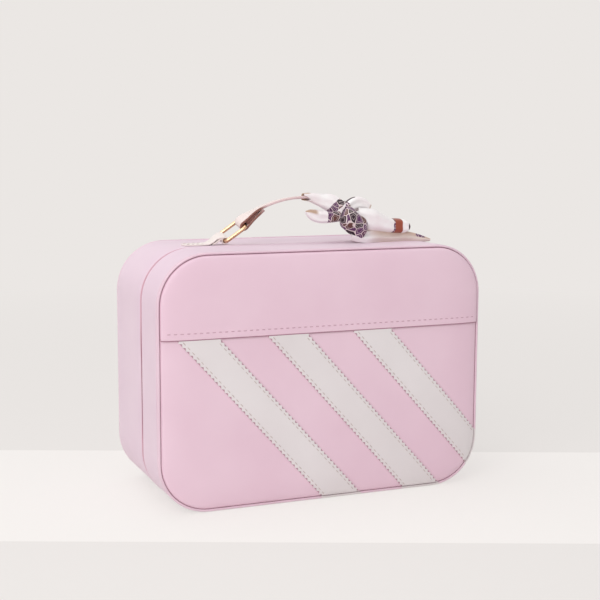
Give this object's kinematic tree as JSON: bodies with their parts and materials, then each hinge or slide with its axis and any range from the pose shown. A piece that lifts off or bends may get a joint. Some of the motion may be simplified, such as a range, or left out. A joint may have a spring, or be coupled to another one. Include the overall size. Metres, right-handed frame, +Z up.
{
  "type": "makeup train case",
  "caption": "Soft-sided makeup train case: zipped clamshell with padded panels, slanted front stripes, a divided inside and a strap handle on rings with a tied scarf.",
  "frame": {"origin": "middle of the base, on the underside of the body's gusset, halfway between the front and back seams", "axes": "+Z up from the base, -Y out of the striped front, +X to the right of the front"},
  "size_m": [0.2852, 0.1282, 0.2456],
  "materials": {
    "pink_leather": "smooth satin coated",
    "cream_leather": "fine grained satin coated",
    "gold_metal": "polished pale gold plate",
    "stiff_board": "plain sheet",
    "lining_fabric": "woven",
    "divider_fabric": "brushed loop pile",
    "net_fabric": "open net",
    "elastic_fabric": "ribbed elastic",
    "zip_tape": "woven tape",
    "zip_coil": "moulded coil",
    "scarf_silk": "satin with a printed pattern"
  },
  "bodies": {
    "case_body": {"body_gusset": "pink_leather", "back_panel": "pink_leather", "back_welt": "pink_leather", "back_board": "stiff_board", "body_lining": "lining_fabric", "zip_tape_body": "zip_tape", "zip_coil_body": "zip_coil", "hinge_strip": "pink_leather", "long_divider": "divider_fabric", "upper_left_divider": "divider_fabric", "upper_right_divider": "divider_fabric", "lower_divider": "divider_fabric", "left_tab": "cream_leather", "right_tab": "cream_leather"},
    "lid": {"lid_gusset": "pink_leather", "front_panel": "pink_leather", "front_welt": "pink_leather", "front_board": "stiff_board", "lid_lining": "lining_fabric", "yoke_panel": "pink_leather", "stripe_left": "cream_leather", "stripe_middle": "cream_leather", "stripe_right": "cream_leather", "zip_tape_lid": "zip_tape", "zip_coil_lid": "zip_coil", "net_pocket": "net_fabric", "pocket_elastic": "elastic_fabric"},
    "upper_slider": {"upper_slider": "gold_metal"},
    "lower_slider": {"lower_slider": "gold_metal"},
    "upper_pull": {"upper_pull": "gold_metal"},
    "lower_pull": {"lower_pull": "gold_metal"},
    "handle": {"handle_strap": "cream_leather", "left_ring": "gold_metal", "right_ring": "gold_metal", "left_tab_loop": "cream_leather", "right_tab_loop": "cream_leather", "scarf": "scarf_silk"}
  },
  "joints": [
    {"name": "lid_hinge", "type": "hinge", "parent": "case_body", "child": "lid", "pos_m": [0, -0.015, -0.0005], "axis": [1, 0, 0], "range_deg": [0, 180]},
    {"name": "upper_slider_run", "type": "slide", "parent": "case_body", "child": "upper_slider", "axis": [0, 0, 1], "range_m": [0, 0.045]},
    {"name": "lower_slider_run", "type": "slide", "parent": "case_body", "child": "lower_slider", "axis": [0, 0, -1], "range_m": [0, 0.045]},
    {"name": "upper_pull_swing", "type": "hinge", "parent": "upper_slider", "child": "upper_pull", "pos_m": [0.1434, -0.015, 0.1088], "axis": [0, 1, 0], "range_deg": [0, 100]},
    {"name": "lower_pull_swing", "type": "hinge", "parent": "lower_slider", "child": "lower_pull", "pos_m": [0.1434, -0.015, 0.0972], "axis": [0, -1, 0], "range_deg": [0, 100]},
    {"name": "handle_lean", "type": "hinge", "parent": "case_body", "child": "handle", "pos_m": [0, 0, 0.2093], "axis": [1, 0, 0], "range_deg": [-28, 0]}
  ]
}
